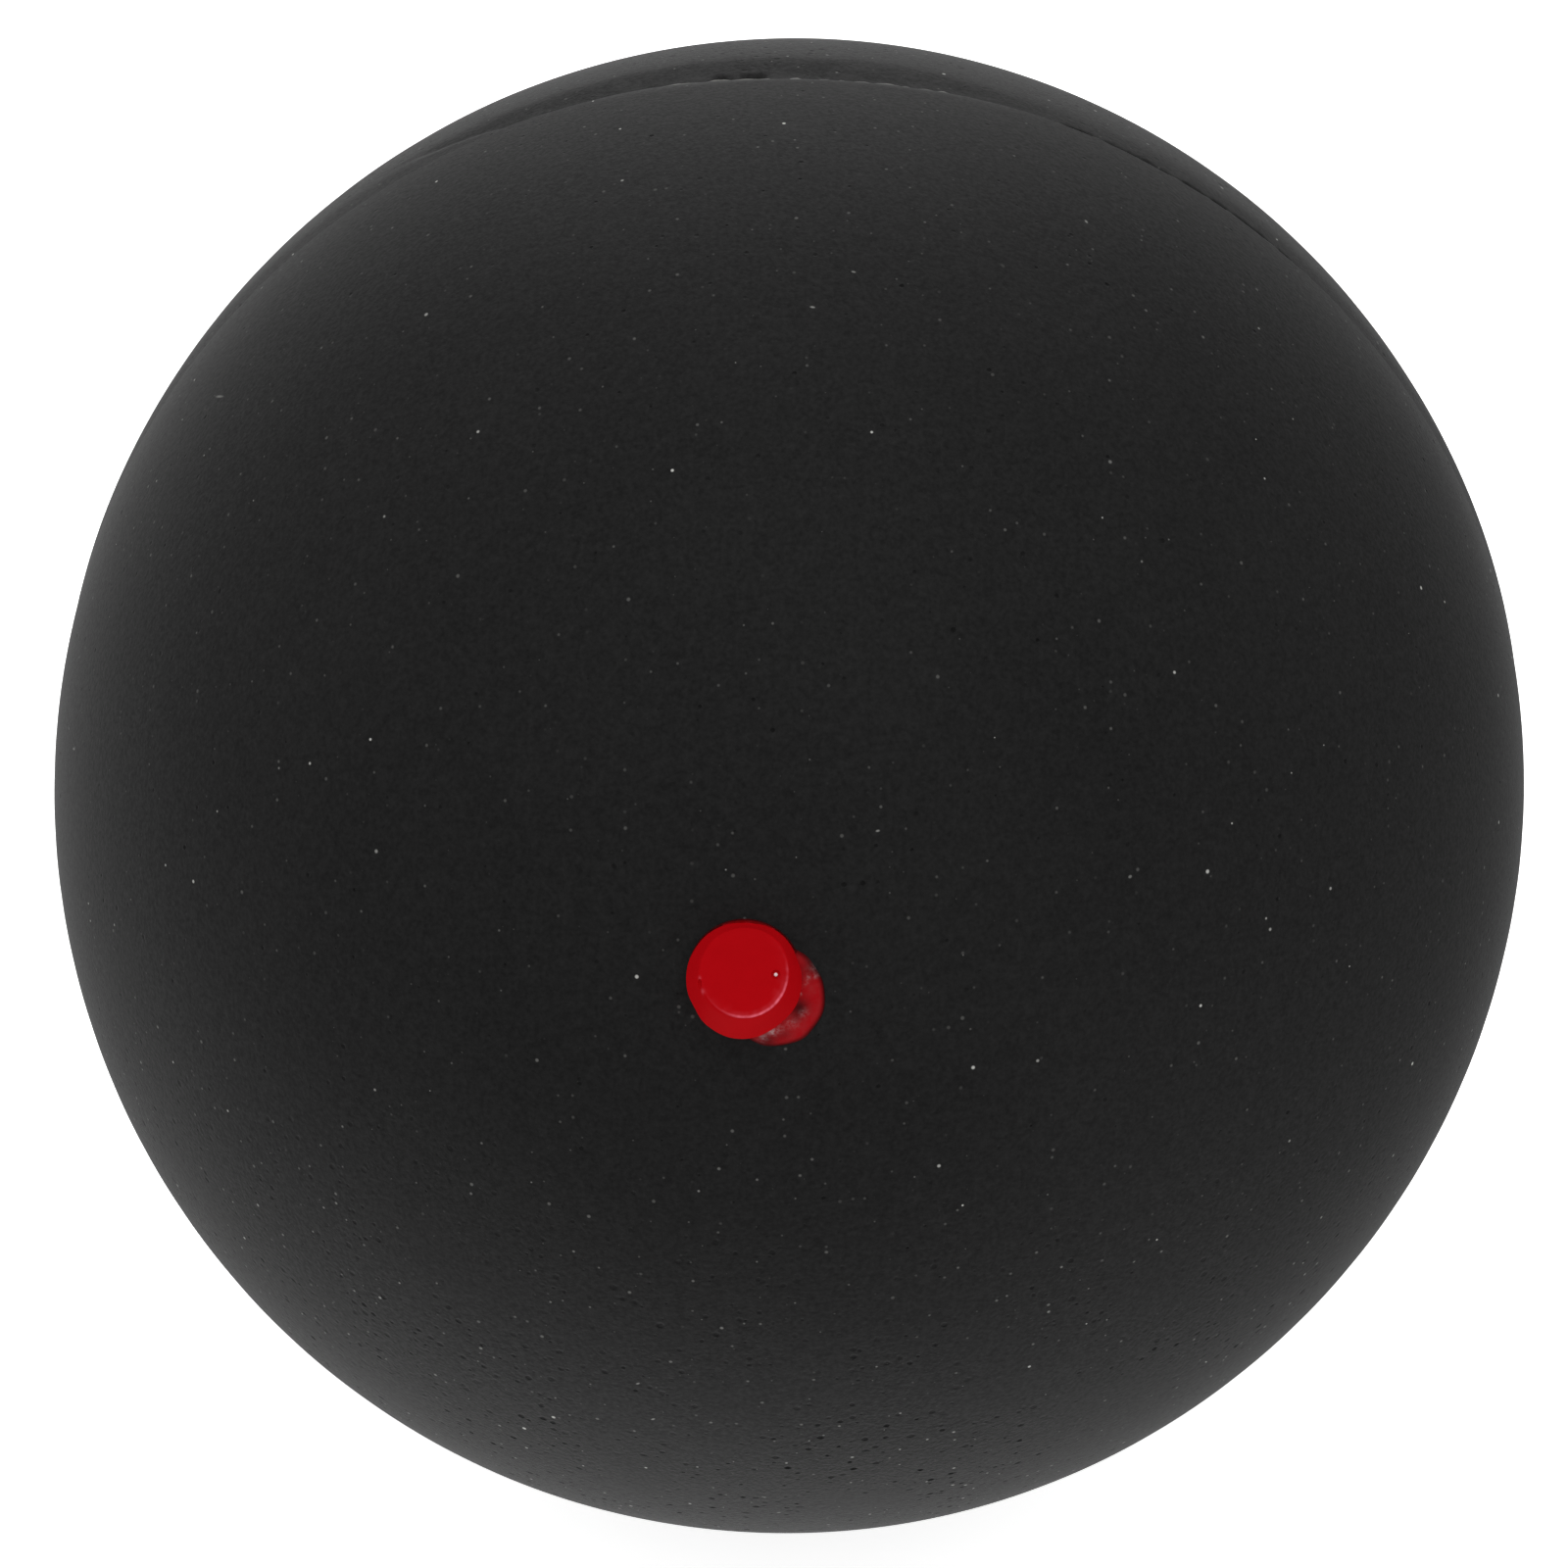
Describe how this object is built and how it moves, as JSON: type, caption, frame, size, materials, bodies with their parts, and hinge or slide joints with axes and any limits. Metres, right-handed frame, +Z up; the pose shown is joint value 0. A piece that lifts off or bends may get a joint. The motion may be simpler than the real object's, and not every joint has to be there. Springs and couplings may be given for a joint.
{
  "type": "squash ball",
  "caption": "Hollow black rubber squash ball: cemented half shells with a buffed seam and a raised red speed dot, to be struck in play.",
  "frame": {"origin": "centre of the ball", "axes": "+Z up, -Y towards the half that carries the red dot, +X to the right of it; the seam lies in the XZ plane and +Y is its axis"},
  "size_m": [0.04, 0.041, 0.0399],
  "materials": {
    "black_rubber": "vulcanised butyl rubber, moulded and buffed matt, with a faint dust",
    "rubber_cement": "cured black rubber solution in the joint",
    "red_rubber": "moulded red rubber, satin",
    "red_bond": "dark red bonding rubber, thin, dusty and matt"
  },
  "bodies": {
    "root": {"front_half_shell": "black_rubber", "rear_half_shell": "black_rubber", "seam_cement": "rubber_cement", "speed_dot": "red_rubber", "dot_bond": "red_bond"}
  },
  "joints": []
}
